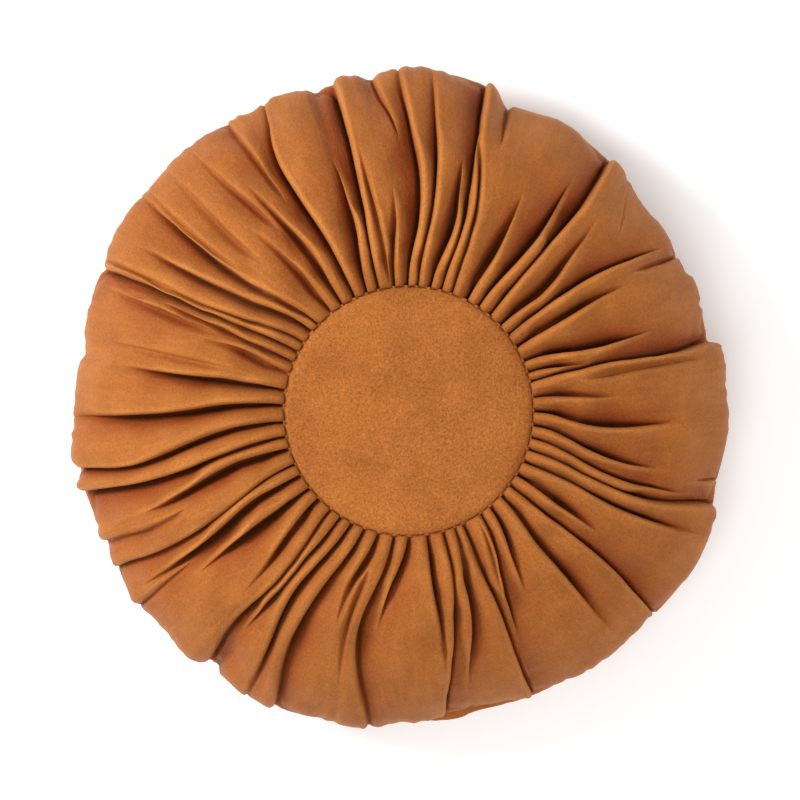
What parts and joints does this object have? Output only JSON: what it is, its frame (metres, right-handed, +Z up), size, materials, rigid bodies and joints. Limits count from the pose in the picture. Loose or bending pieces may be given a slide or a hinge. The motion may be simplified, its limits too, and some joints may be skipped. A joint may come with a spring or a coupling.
{
  "type": "round gathered throw pillow",
  "caption": "Round throw pillow: a flat centre disc inside a wide gathered ring, with a plain back panel, filled and crowned, lying on its back.",
  "frame": {"origin": "on the surface under the middle of the pillow's outline", "axes": "+Z up, out of the gathered face; +X to the right and +Y to the top of the face as seen from above"},
  "size_m": [0.4042, 0.407, 0.119],
  "materials": {
    "ring_velvet": "short-pile ochre velvet, gathered, soft sheen",
    "disc_velvet": "short-pile ochre velvet lying flat, fine even nap",
    "back_velvet": "short-pile ochre velvet, plain and smooth"
  },
  "bodies": {
    "root": {"gathered_ring": "ring_velvet", "centre_disc": "disc_velvet", "back_panel": "back_velvet"}
  },
  "joints": []
}
